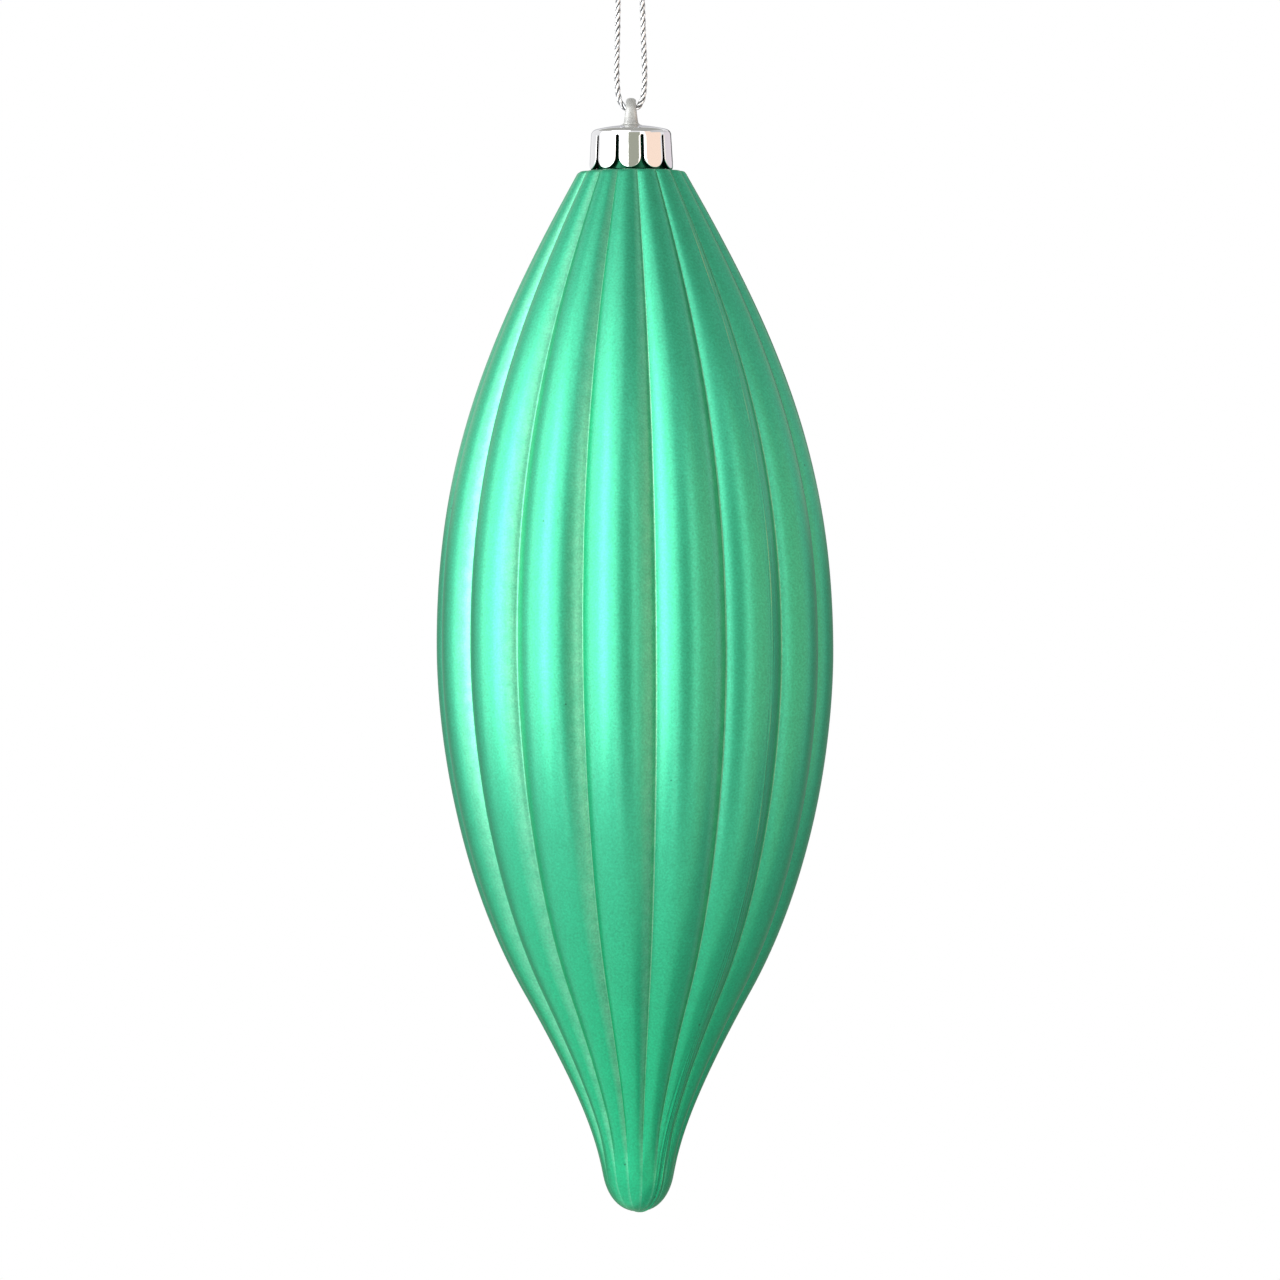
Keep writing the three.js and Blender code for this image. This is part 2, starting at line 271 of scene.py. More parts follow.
def pearlLacquer():
    material, tree = newMaterial("satin pearl lacquer, sprayed")
    place = addNode(tree, "TexCoord").outputs["Object"]
    grain = addNoise(tree, place, 1 / (pearl["grainSize"] * mm), pearl["grainDetail"],
                     pearl["grainRoughness"])
    mottle = addNoise(tree, place, 1 / (pearl["mottleSize"] * mm), pearl["mottleDetail"])
    flake = remap(tree, grain, pearl["grainNoise"], pearl["grainShade"])
    cloud = remap(tree, mottle, pearl["mottleNoise"], pearl["mottleShade"])
    shade = multiply(tree, flake, cloud)
    # Towards the nub the colour is deeper and less whitened: painted shade, for the dimmer light the
    # lower body mirrors
    height = addNode(tree, "SeparateXYZ", {}, {"Vector": place}).outputs["Z"]
    towardsNub = remap(tree, height, [h * mm for h in pearl["nubRampHeights"]], (1, 0), "SMOOTHSTEP")
    colour = mixColours(tree, towardsNub, linear(pearl["colour"]), linear(pearl["nubShadeColour"]))
    # Beside a groove: a fine tan line on its right, where the lacquer pulls thin, and a wider pale band
    # # on its left, partly thin lacquer and partly painted light, for light bounced off the next lobe
    patchy = addNoise(tree, place, 1 / (pearl["patchSize"] * mm), pearl["patchDetail"])
    cover = remap(tree, patchy, pearl["patchNoise"], pearl["patchCover"])
    for side in ("pastGroove", "beforeGroove"):
        strength, reach, shown = pearl[side]
        away = addNode(tree, "Attribute", {"attribute_name": side}).outputs["Fac"]
        near = remap(tree, away, (pearl["grooveCore"] * reach, reach), (strength, 0))
        colour = mixColours(tree, multiply(tree, near, cover), colour, linear(shown))
    # Along the parting line a pale line is painted where the ridge stands proud: a painted highlight,
    # fainter towards the nub
    ridge = addNode(tree, "Attribute", {"attribute_name": "parting"}).outputs["Fac"]
    proud = remap(tree, ridge, pearl["seamProud"], (0, pearl["seamHighlight"]))
    awayFromNub = remap(tree, towardsNub, (0, 1), (1, pearl["seamHighlightAtNub"]))
    colour = mixColours(tree, multiply(tree, proud, awayFromNub), colour, linear(pearl["seamHighlightColour"]))
    # Dust nibs under the lacquer
    nibs = addNode(tree, "TexVoronoi", {}, {"Vector": place, "Scale": 1 / (pearl["speckSpacing"] * mm)})
    edge = pearl["speckSize"] / pearl["speckSpacing"]
    core = pearl["speckCore"] * edge
    nib = remap(tree, nibs.outputs["Distance"], (core, edge), (pearl["speckShade"], 1))
    shaded = addNode(tree, "VectorMath", {"operation": "SCALE"}, {
        0: colour, "Scale": multiply(tree, shade, nib)})
    # Flow marks run down beside the parting line, where the mould's halves met, deepest at the nub
    across = addNode(tree, "VectorMath", {"operation": "DOT_PRODUCT"}, {
        0: place, 1: partingNormal}).outputs["Value"]
    beside = addNode(tree, "Math", {"operation": "ABSOLUTE"}, {0: across}).outputs["Value"]
    marked = remap(tree, beside, (0, pearl["streakReach"] * mm), (1, 0), "SMOOTHSTEP")
    gathered = remap(tree, towardsNub, (0, 1), (pearl["streakAboveNub"], 1))
    drawnOut = addNode(tree, "CombineXYZ", {}, {
        "X": across, "Z": multiply(tree, height, pearl["streakStretch"])}).outputs["Vector"]
    streaks = addNoise(tree, drawnOut, 1 / (pearl["streakWidth"] * mm), pearl["streakDetail"])
    flow = addBump(tree, streaks, multiply(tree, marked, gathered), pearl["streakDepth"])
    closeMaterial(tree, {
        "Base Color": shaded.outputs["Vector"], "Metallic": pearl["metallic"],
        "Roughness": remap(tree, grain, pearl["grainNoise"], pearl["roughness"]),
        "Specular Tint": linear(pearl["edgeColour"]),
        "Coat Weight": pearl["coat"], "Coat Roughness": pearl["coatRoughness"],
        "Normal": addBump(tree, grain, pearl["peelStrength"], pearl["peelDepth"], flow)})
    return material


# Tinted PET, blow moulded: bare and glossy where the cap kept the spray off the neck; its dark green is
# partly the plastic's tint and partly painted shade inside the cap
neck = {
    # dark greens: the plastic's tint, deepened by painted shade
    "colours": ("#02291a", "#0b5b3e"),
    "metallic": 0.6,
    "roughness": 0.16,
    "ior": 1.575,
    "specular": 0.15,
    "flowScale": 450.0,
    "flowDetail": 2.0,
    "flowStrength": 0.2,
    "flowDepth": 0.03,
}


def tintedShadedNeck():
    material, tree = newMaterial("tinted moulded PET, with painted shade")
    place = addNode(tree, "TexCoord").outputs["Object"]
    flow = addNoise(tree, place, neck["flowScale"], neck["flowDetail"])
    closeMaterial(tree, {
        "Base Color": colourRamp(tree, flow, neck["colours"]),
        "Metallic": neck["metallic"], "Roughness": neck["roughness"],
        "IOR": neck["ior"], "Specular IOR Level": neck["specular"],
        "Normal": addBump(tree, flow, neck["flowStrength"], neck["flowDepth"])})
    return material


# Chrome-plated ABS, injection moulded: a mirror with the moulding's faint waves in it, duller where
# # the cord has rubbed the eyelet, and near-black green in the slots and inside: painted shade
chrome = {
    "waveSize": 2.2,
    "waveDetail": 1.0,
    "pitSize": 0.25,
    "pitDetail": 2.0,
    "pitNoise": (0.3, 0.75),
    "pitRoughness": (0.85, 1.25),
    # finish: name, colour, metallic, roughness, depth of the waves
    "mirror": ("chrome-plated ABS", "#e6e6e8", 1.0, 0.07, 0.012),
    "rubbed": ("chrome-plated ABS, rubbed by the cord", "#a9aaa8", 0.4, 0.34, 0.003),
    # painted shade, tinted green, on the slots' sides and the skirt's inside
    "inside": ("chrome-plated ABS, with painted shade inside", "#17261f", 1.0, 0.3, 0),
}


def platedCap(name, colour, metallic, roughness, waveDepth):
    material, tree = newMaterial(name)
    place = addNode(tree, "TexCoord").outputs["Object"]
    waves = addNoise(tree, place, 1 / (chrome["waveSize"] * mm), chrome["waveDetail"])
    pits = addNoise(tree, place, 1 / (chrome["pitSize"] * mm), chrome["pitDetail"])
    shiniest, dullest = (share * roughness for share in chrome["pitRoughness"])
    closeMaterial(tree, {
        "Base Color": linear(colour), "Metallic": metallic,
        "Roughness": remap(tree, pits, chrome["pitNoise"], (shiniest, dullest)),
        "Normal": addBump(tree, waves, 1, waveDepth)})
    return material


yarnMaterial = silverYarn()
pearlMaterial = pearlLacquer()
shadedNeckMaterial = tintedShadedNeck()
mirrorMaterial = platedCap(*chrome["mirror"])
rubbedMaterial = platedCap(*chrome["rubbed"])
shadedInsideMaterial = platedCap(*chrome["inside"])
print("materials made")


# Cord: a three-ply twist. Half of its loop, as (distance from the middle, height) in metres, runs
# from the knot, round the hook's place, down one strand and under the eyelet's bar, and the other
# half mirrors it.
cord = {
    "diameter": 1.05,
    "plies": 3,
    "plyRadius": 0.272,
    "lay": 4.26,        # length of one turn of the twist
    "sides": 10,
    "step": 0.16,
    "curveSteps": 16,
    "splayLength": 1.6,        # from a cut end
    "loopHalf": [
        (0.00062, 0.00175), (0.00068, 0.00115), (0.00098, 0.00048), (0.00143, -0.00007),
        (0.00184, -0.00085), (0.00206, -0.0019), (0.00217, -0.0034), (0.00223, -0.0055),
        (0.00233, -0.0095), (0.00244, -0.0135), (0.00255, -0.017), (0.0025, -0.0192),
        (0.00234, -0.0211), (0.00214, -0.02215), (0.00178, -0.023), (0.00128, -0.02362),
        (0.00068, -0.02398), (0, -0.0241),
    ],
}


# Points an even step apart along a centripetal Catmull-Rom curve, as the CAD model draws the cord
def smoothRoute(points, step):
    points = [Vector(p) for p in points]
    padded = [2 * points[0] - points[1], *points, 2 * points[-1] - points[-2]]
    fine = []
    for p0, p1, p2, p3 in zip(padded, padded[1:], padded[2:], padded[3:]):
        t1 = (p1 - p0).length ** 0.5
        t2 = t1 + (p2 - p1).length ** 0.5
        t3 = t2 + (p3 - p2).length ** 0.5
        for i in range(cord["curveSteps"]):
            t = t1 + (t2 - t1) * i / cord["curveSteps"]
            a = p0.lerp(p1, t / t1)
            b = p1.lerp(p2, (t - t1) / (t2 - t1))
            c = p2.lerp(p3, (t - t2) / (t3 - t2))
            fine.append(a.lerp(b, t / t2).lerp(b.lerp(c, (t - t1) / (t3 - t1)), (t - t1) / (t2 - t1)))
    fine.append(points[-1])
    return evenSteps(fine, step)


# The points moved along their line to stand an even step apart, and the line's length
def evenSteps(points, step):
    lengths = [0]
    for a, b in zip(points, points[1:]):
        lengths.append(lengths[-1] + (b - a).length)
    count = round(lengths[-1] / step)
    route = []
    at = 0
    for i in range(count + 1):
        target = lengths[-1] * i / count
        while at < len(points) - 2 and lengths[at + 1] < target:
            at += 1
        share = (target - lengths[at]) / (lengths[at + 1] - lengths[at])
        route.append(points[at].lerp(points[at + 1], share))
    return route, lengths[-1]


# Each point with the direction along the route and two across it, carried along without twist
def routeFrames(route):
    frames = []
    side = None
    for i, point in enumerate(route):
        ahead = (route[min(i + 1, len(route) - 1)] - route[max(i - 1, 0)]).normalized()
        if side is None:
            side = ahead.orthogonal()
        side = (side - ahead * side.dot(ahead)).normalized()
        frames.append((point, ahead, side, ahead.cross(side)))
    return frames


# Winds the plies round one route. At a cut end they spring apart.
def windPlies(bm, route, startTurn=0, splayEnd=0):
    uv = bm.loops.layers.uv.get("yarn") or bm.loops.layers.uv.new("yarn")
    fromMiddle = bm.verts.layers.float.get("fromMiddle") or bm.verts.layers.float.new("fromMiddle")
    frames = routeFrames(route)
    rows = len(route) - 1
    sides = cord["sides"]
    radius = cord["plyRadius"] * mm
    offset = (cord["diameter"] / 2 - cord["plyRadius"]) * mm
    stepLength = (route[1] - route[0]).length
    for ply in range(cord["plies"]):
        centres = []
        for i, (point, _, side, up) in enumerate(frames):
            turn = startTurn + 2 * math.pi * (ply / cord["plies"] + i * stepLength / (cord["lay"] * mm))
            fromEnd = (rows - i) * stepLength
            spread = 1 + splayEnd * (1 - smoothStep(fromEnd, 0, cord["splayLength"] * mm))
            centres.append(point + spread * offset * (math.cos(turn) * side + math.sin(turn) * up))
        plyFrames = routeFrames(centres)
        grid = bmesh.ops.create_grid(bm, x_segments=sides, y_segments=rows, size=0.5)["verts"]
        for face in {f for v in grid for f in v.link_faces}:
            for loop in face.loops:
                # Round a ply and along it, in millimetres
                across = (loop.vert.co.x + 0.5) * 2 * math.pi * cord["plyRadius"]
                along = (loop.vert.co.y + 0.5) * rows * stepLength / mm
                loop[uv].uv = (across, along)
        for vert in grid:
            angle = 2 * math.pi * (vert.co.x + 0.5)
            row = round((vert.co.y + 0.5) * rows)
            point, _, side, up = plyFrames[row]
            vert.co = point + radius * (math.cos(angle) * side + math.sin(angle) * up)
            vert[fromMiddle] = (vert.co - frames[row][0]).length / mm


# Joins each ply's grid into a tube and closes its ends
def closeTubes(bm):
    bmesh.ops.remove_doubles(bm, verts=bm.verts, dist=weld * mm)
    ends = [e for e in bm.edges if e.is_boundary]
    bmesh.ops.holes_fill(bm, edges=ends, sides=0)
    bmesh.ops.recalc_face_normals(bm, faces=bm.faces)


def makeCord():
    down = [(-x, 0, z) for x, z in cord["loopHalf"]]
    up = [(x, 0, z) for x, z in reversed(cord["loopHalf"][:-1])]
    route, length = smoothRoute(down + up, cord["step"] * mm)
    bm = bmesh.new()
    windPlies(bm, route)
    closeTubes(bm)
    piece = finishPiece(bm, "cord_loop", [yarnMaterial], "cord", "hanging_cord")
    return piece, down + up, length


# Knot: both strands tied in one overhand knot, side by side, with their cut ends above it. The path
# is the pair's middle line. The strands lie left and right of it, unless it runs nearly sideways.
knot = {
    "strandGap": 1.0,
    "nearlySideways": 0.3,
    "splay": 0.9,
    "path": [
        (0.0, 0.0, 1.75), (0.0, 0.05, 2.5), (0.05, 0.15, 3.3), (0.25, 0.1, 4.3), (0.75, -0.35, 5.05),
        (0.75, -1.05, 4.9), (-0.05, -1.4, 4.2), (-0.95, -1.05, 3.5), (-1.3, 0.0, 3.05),
        (-0.85, 1.05, 3.15), (0.15, 1.35, 3.6), (0.95, 0.85, 3.9), (0.85, 0.1, 3.35),
        (0.2, -0.45, 3.4), (-0.25, -0.35, 4.3), (-0.35, -0.05, 5.4), (-0.4, 0.0, 6.6), (-0.5, 0.0, 8.3),
    ],
}


def makeKnot():
    bm = bmesh.new()
    middle, _ = smoothRoute([Vector(p) * mm for p in knot["path"]], cord["step"] * mm)
    for sign in (-1, 1):
        strand = []
        for point, ahead, side, _ in routeFrames(middle):
            across = Vector((1, 0, 0)) - ahead * ahead.x
            across = across.normalized() if across.length > knot["nearlySideways"] else side
            strand.append(point + sign * 0.5 * knot["strandGap"] * mm * across)
        even, _ = evenSteps(strand, cord["step"] * mm)
        windPlies(bm, even, startTurn=sign, splayEnd=knot["splay"])
    closeTubes(bm)
    return finishPiece(bm, "tied_knot", [yarnMaterial], "cord", "cord_knot")


cordPiece, cordRoute, cordLength = makeCord()
knotPiece = makeKnot()
print("cord wound,", round(cordLength / mm, 1), "mm")


# Shell. Depths are measured down from the shoulder, heights up from the tip, radii to the crests.
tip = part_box("body_shell")[0].z / mm
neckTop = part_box("body_shell")[1].z / mm
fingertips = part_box("hanger_cap")[0].z / mm
shell = {
    "wall": 1.4,
    "neckWall": 1.1,
    "bodyLength": 189.5,
    "neckRootRadius": 6.51,
    "neckLipRadius": 6.21,
    "neckLipRound": 0.4,
    "neckRootRound": 0.7,
    # how much thinner than its root the neck is, and how far up
    "neckTaper": ((0.1, 2.2), (0.2, 4.2)),
    "shoulderRadius": 9.73,
    "shoulderCorner": 1.0,
    "flankSlope": 0.563,
    "flankReach": 30.8,
    "widestRadius": 36.26,
    "widestDepth": 86.7,
    "widestReachUp": 33.2,
    "widestReachDown": 18.2,
    "turnRadius": 20.95,
    "turnHeight": 40.4,
    "turnSlope": -0.562,
    "turnReachUp": 19.3,
    "turnReachDown": 20.5,
    "nubRadius": 6.4,
    "nubHeight": 6.5,
    "nubSlope": -0.196,
    "nubReachUp": 6,
    "nubRound": 3.6,
    # rows of faces: along the body's curves from the tip up, round the shoulder, the neck's root and
    # its lip, and fewer inside, where no point but the last is this near to the axis at the tip
    "curveRows": (14, 34, 44, 52),
    "shoulderRows": 7,
    "rootRows": 5,
    "lipRows": 4,
    "insideCoarser": 5,
    "insideRows": 4,
    "insideTip": 0.3,
    "columnsPerLobe": 24,
    "columnCrowding": 1.9,
    # where the lacquer ends: how far over the neck's rounded root, and what tells the hollow's faces
    "lacquerUpRoot": 0.15,
    "neckMargin": 0.1,
    "hollowFloor": 3,
    "floorFacesUp": 0.5,
    "hollowFacesOut": -0.05,
    "lobes": 16,
    "grooveDepth": 2.7,
    "groovePhase": 6.5,
    "grooveRound": 0.16,
    # the flutes fade in from the tip up, and near the shoulder they fade out towards the cap
    "fluteFade": (5.5, 17),
    "capRadius": 7.66,
    "capFadeDepth": 5,
    "farFromGroove": 10,        # for a lobe's other half, and on the axis
    "runOut": 1.5,        # added to a distance where a groove has faded out
    "narrowestBand": 0.3,        # share of the widest radius below which the bands narrow no more
    "partingHeight": 0.09,
    "partingWidth": 0.17,
    "partingCuts": 6,
    "partingSpacing": 0.1,
    "partingBand": 3,
    "pinchHeight": 1.5,
    "pinchFade": (0.2, 2.2),
    "wander": 0.1,
    "wanderLength": 5,
    "wanderPlace": (3.7, 0),        # where the noise is read, apart from the height
    "wornMiddle": 0.65,
    "wornSpread": 0.7,
    "wornLength": 9,
    "wornPlace": (9.1, 1.3),
    "waveDepth": 0.03,
    "waveLength": 16,
}
shoulder = tip + shell["bodyLength"]


# The outline's curves, from the tip up, each as start, two handles and end
def bodyCurves():
    s = shell
    widestHeight = shoulder - s["widestDepth"]
    corner = s["shoulderCorner"]
    widest = (s["widestRadius"], widestHeight)
    turn = (s["turnRadius"], tip + s["turnHeight"])
    nubTop = (s["nubRadius"], tip + s["nubHeight"])
    flankTop = (s["shoulderRadius"] + s["flankSlope"] * corner, shoulder - corner)
    belowNub = (s["nubRadius"] + s["nubSlope"] * s["nubRound"], nubTop[1] - s["nubRound"])
    aboveNub = (s["nubRadius"] - s["nubSlope"] * s["nubReachUp"], nubTop[1] + s["nubReachUp"])
    belowTurn = (s["turnRadius"] + s["turnSlope"] * s["turnReachDown"], turn[1] - s["turnReachDown"])
    aboveTurn = (s["turnRadius"] - s["turnSlope"] * s["turnReachUp"], turn[1] + s["turnReachUp"])
    belowWidest = (s["widestRadius"], widestHeight - s["widestReachDown"])
    aboveWidest = (s["widestRadius"], widestHeight + s["widestReachUp"])
    flank = (s["shoulderRadius"] + s["flankSlope"] * s["flankReach"], shoulder - s["flankReach"])
    return [
        ((0, tip), (s["nubRound"], tip), belowNub, nubTop),
        (nubTop, aboveNub, belowTurn, turn),
        (turn, aboveTurn, belowWidest, widest),
        (widest, aboveWidest, flank, flankTop),
    ]


def curvePoints(start, handleA, handleB, end, rows):
    flat = [Vector((x, z, 0)) for x, z in (start, handleA, handleB, end)]
    return [(p.x, p.y) for p in interpolate_bezier(*flat, rows + 1)]


# The points of the outside, from the tip up to the neck's lip, and of the inside, back down
def shellOutline():
    curves = list(zip(bodyCurves(), shell["curveRows"]))
    outside = []
    for curve, rows in curves:
        outside += curvePoints(*curve, rows)[:-1]
    flankTop = curves[-1][0][-1]
    rim = (shell["shoulderRadius"] - shell["shoulderCorner"], shoulder)
    edge = (shell["shoulderRadius"], shoulder)
    root = shell["neckRootRadius"]
    lip = shell["neckLipRadius"]
    rootRound = shell["neckRootRound"]
    lipRound = shell["neckLipRound"]
    outside += curvePoints(flankTop, edge, edge, rim, shell["shoulderRows"])[:-1]
    outside += [rim, ((rim[0] + root + rootRound) / 2, shoulder)]
    foot = (root, shoulder)
    footEnds = (root + rootRound, shoulder), (root, shoulder + rootRound)
    outside += curvePoints(footEnds[0], foot, foot, footEnds[1], shell["rootRows"])
    outside += [(root - thinner, shoulder + up) for thinner, up in shell["neckTaper"]]
    crown = (lip, neckTop)
    crownEnds = (lip, neckTop - lipRound), (lip - lipRound, neckTop)
    outside += curvePoints(crownEnds[0], crown, crown, crownEnds[1], shell["lipRows"])
    bore = lip - shell["neckWall"]
    wall = shell["wall"]
    inside = [(bore, neckTop), (bore, shoulder - wall / 2), (rim[0], shoulder - wall)]
    for curve, rows in reversed(curves):
        points = curvePoints(*curve, max(shell["insideRows"], rows // shell["insideCoarser"]))
        for (x0, z0), (x1, z1) in zip(points[:0:-1], points[-2::-1]):
            along = Vector((x0 - x1, z0 - z1)).normalized()
            inside.append((max(x0 - wall * along.y, 0), z0 + wall * along.x))
    inside = [p for p in inside if p[0] > shell["insideTip"] or p[1] > tip + 2 * wall]
    inside.append((0, tip + wall))
    return outside, inside


# How far a lobe's arc is from the axis, at an angle from its crest; fade is 1 where the lobe is full
def lobeRadius(crest, fade, fromCrest):
    half = math.pi / shell["lobes"]
    share = shell["grooveDepth"] / shell["widestRadius"]
    groove = crest * (1 - share * fade)
    centre = (crest ** 2 - groove ** 2) / (2 * (crest - groove * math.cos(half)))
    arc = crest - centre
    across = centre * math.sin(fromCrest)
    radius = centre * math.cos(fromCrest) + math.sqrt(arc ** 2 - across ** 2)
    # The groove's floor is rounded, by as much as leaves the lobe's flank where the rounding starts
    beside = (half - abs(fromCrest)) * groove
    rounding = shell["grooveRound"] * crest / shell["widestRadius"]
    if beside < rounding:
        flank = math.tan(math.asin(groove * math.sin(half) / arc) - half)
        radius += flank * (rounding - beside) ** 2 / (2 * rounding)
    return radius


# Flutes the spun body, and keeps how far each point is past a groove or before one, going round to
# the right, as it would be in millimetres where the body is widest, and more where the flutes fade
def fluteShell(bm):
    half = math.pi / shell["lobes"]
    phase = math.radians(shell["groovePhase"])
    pastGroove = bm.verts.layers.float.new("pastGroove")
    beforeGroove = bm.verts.layers.float.new("beforeGroove")
    for vert in bm.verts:
        crest = math.hypot(vert.co.x, vert.co.y)
        vert[pastGroove] = vert[beforeGroove] = shell["farFromGroove"]
        if crest < tiny:
            continue
        turn = math.atan2(vert.co.x, -vert.co.y) - phase
        lobe = math.floor(turn / (2 * half) + tiny)
        local = min(max(turn / half - 2 * lobe - 1, -1), 1)
        local = math.copysign(1 - (1 - abs(local)) ** shell["columnCrowding"], local)
        fromCrest = local * half
        fade = smoothStep(vert.co.z - tip, *shell["fluteFade"])
        if vert.co.z > shoulder - shell["capFadeDepth"]:
            fade *= smoothStep(crest, shell["capRadius"], shell["shoulderRadius"])
        if vert.co.z > shoulder + shell["neckRootRound"]:
            fade = 0
        radius = lobeRadius(crest, fade, fromCrest) if fade > 0 else crest
        place = phase + (2 * lobe + 1) * half + fromCrest
        vert.co.x = radius * math.sin(place)
        vert.co.y = -radius * math.cos(place)
        size = max(crest / shell["widestRadius"], shell["narrowestBand"])
        distance = (half - abs(fromCrest)) * crest / size + shell["runOut"] * (1 - fade)
        inGroove = 1 - abs(local) < tiny
        if local < tiny or inGroove:
            vert[pastGroove] = distance
        if local > -tiny or inGroove:
            vert[beforeGroove] = distance


# The mould's parting line, a low uneven ridge down both sides, and the slow waves of a blown wall
def partAndWave(bm):
    near = [f for f in bm.faces if f.material_index == 0
            and abs(f.calc_center_median().dot(partingNormal)) < shell["partingBand"]]
    geom = list({*near, *(e for f in near for e in f.edges), *(v for f in near for v in f.verts)})
    for i in range(-shell["partingCuts"], shell["partingCuts"] + 1):
        place = partingNormal * i * shell["partingSpacing"]
        geom = bmesh.ops.bisect_plane(bm, geom=geom, dist=weld / 10, plane_co=place,
                                      plane_no=partingNormal)["geom"]
    bm.normal_update()
    parting = bm.verts.layers.float.new("parting")
    moves = []
    highest = shoulder - shell["shoulderCorner"]
    for vert in bm.verts:
        if vert.co.z > highest or any(f.material_index for f in vert.link_faces):
            continue
        wave = noise.noise(vert.co / shell["waveLength"]) * shell["waveDepth"]
        wandered = noise.noise(Vector((vert.co.z / shell["wanderLength"], *shell["wanderPlace"])))
        beside = (vert.co.dot(partingNormal) - shell["wander"] * wandered) / shell["partingWidth"]
        rubbed = noise.noise(Vector((vert.co.z / shell["wornLength"], *shell["wornPlace"])))
        worn = shell["wornMiddle"] + shell["wornSpread"] * rubbed
        pinched = 1 + shell["pinchHeight"] * (1 - smoothStep(vert.co.z - tip, *shell["pinchFade"]))
        vert[parting] = worn * math.exp(-beside * beside)
        lift = shell["partingHeight"] * pinched * vert[parting]
        moves.append((vert, vert.normal * (wave + lift)))
    for vert, move in moves:
        vert.co += move


# Whether a face is in the hollow or on the neck, where no lacquer reaches
def isBare(face):
    centre = face.calc_center_median()
    outward = face.normal.dot(Vector((centre.x, centre.y, 0)))
    onFloor = face.normal.z > shell["floorFacesUp"] and centre.z < tip + shell["hollowFloor"]
    neckLine = shell["neckRootRadius"] + shell["lacquerUpRoot"] * shell["neckRootRound"]
    onNeck = math.hypot(centre.x, centre.y) < neckLine and centre.z > shoulder - shell["neckMargin"]
    return outward < shell["hollowFacesOut"] or onFloor or onNeck


def makeShell():
    outside, inside = shellOutline()
    bm = bmesh.new()
    profile = [bm.verts.new((x, 0, z)) for x, z in outside + inside]
    edges = [bm.edges.new(pair) for pair in zip(profile, profile[1:])]
    turnToGroove = Matrix.Rotation(math.radians(shell["groovePhase"] - 90), 3, "Z")
    bmesh.ops.rotate(bm, cent=(0, 0, 0), matrix=turnToGroove, verts=profile)
    oneLobe = 2 * math.pi / shell["lobes"]
    bmesh.ops.spin(bm, geom=profile + edges, cent=(0, 0, 0), axis=(0, 0, 1), angle=oneLobe,
                   steps=shell["columnsPerLobe"], use_merge=False)
    one = bm.verts[:] + bm.edges[:] + bm.faces[:]
    for i in range(1, shell["lobes"]):
        copied = bmesh.ops.duplicate(bm, geom=one)["geom"]
        turned = [v for v in copied if isinstance(v, bmesh.types.BMVert)]
        turn = Matrix.Rotation(oneLobe * i, 3, "Z")
        bmesh.ops.rotate(bm, cent=(0, 0, 0), matrix=turn, verts=turned)
    bmesh.ops.remove_doubles(bm, verts=bm.verts, dist=weld)
    bmesh.ops.recalc_face_normals(bm, faces=bm.faces)
    for face in bm.faces:
        face.material_index = 1 if isBare(face) else 0
    fluteShell(bm)
    partAndWave(bm)
    bmesh.ops.scale(bm, vec=(mm, mm, mm), verts=bm.verts)
    return finishPiece(bm, "fluted_body", [pearlMaterial, shadedNeckMaterial], "shell",
                       "body_shell")


shellPiece = makeShell()
print("shell spun,", len(shellPiece.data.polygons), "faces")


# Cap. The skirt and dome are laid out flat first, as (distance round, depth below the skin, distance
# up from the fingertips), and then wrapped round the axis.
cap = {
    "height": 8.1,
    "bottomRadius": 7.66,
    "topRadius": 7.3,
    "skirtTop": 6.3,
    "wall": 0.85,
    "domeCurve": 0.0185,        # the dome falls by this times the radius squared
    "domeEdge": 6.45,
    "joinUp": 6.95,        # where the skirt's grids end and the dome is grown on
    "fingers": 10,
    "slotWidth": 0.65,
    "slotPhase": 16,
    "slotCentreUp": 5.675,
    "tipSink": 0.03,        # how far the tips' round reaches below the CAD's fingertips
    "edgeRound": 0.13,
    "sharpAngle": 50,
    "insideDepth": 0.9,        # share of the edge's rounding past which a face is inside
    "roundSteps": 5,
    "faceSteps": 5,
    "tipSteps": 20,
    "straightSteps": 8,
    "crownSteps": 9,
    "crownCrowding": 1.5,
    "slotSteps": 10,
    "domeSteps": 16,
    "domeCrowding": 1.2,
    "domeHole": 0.4,
    "domeSearch": 0.02,
}
halfPitch = math.pi * cap["bottomRadius"] / cap["fingers"]
halfFinger = halfPitch - cap["slotWidth"] / 2
tipCentreUp = halfFinger - cap["tipSink"]
domeTop = fingertips + cap["height"]


# A point of the cap's skin and the direction out of it, at a distance up from the fingertips
def capSkin(up):
    lean = math.atan((cap["bottomRadius"] - cap["topRadius"]) / cap["skirtTop"])
    if up <= cap["skirtTop"]:
        radius = cap["bottomRadius"] - up * math.tan(lean)
        return radius, fingertips + up, math.cos(lean), math.sin(lean)
    edge = cap["domeEdge"]
    slope = math.atan(2 * cap["domeCurve"] * edge)
    steep = math.pi / 2 - lean
    rimRound = (cap["topRadius"] - edge) / (math.sin(steep) - math.sin(slope))
    turn = (up - cap["skirtTop"]) / rimRound
    if turn <= steep - slope:
        angle = steep - turn
        radius = edge + rimRound * (math.sin(angle) - math.sin(slope))
        drop = cap["domeCurve"] * edge ** 2 + rimRound * (math.cos(slope) - math.cos(angle))
        return radius, domeTop - drop, math.sin(angle), math.cos(angle)
    past = up - cap["skirtTop"] - (steep - slope) * rimRound
    radius = max(edge - past * math.cos(slope), 0)
    angle = math.atan(2 * cap["domeCurve"] * radius)
    return radius, domeTop - cap["domeCurve"] * radius ** 2, math.sin(angle), math.cos(angle)


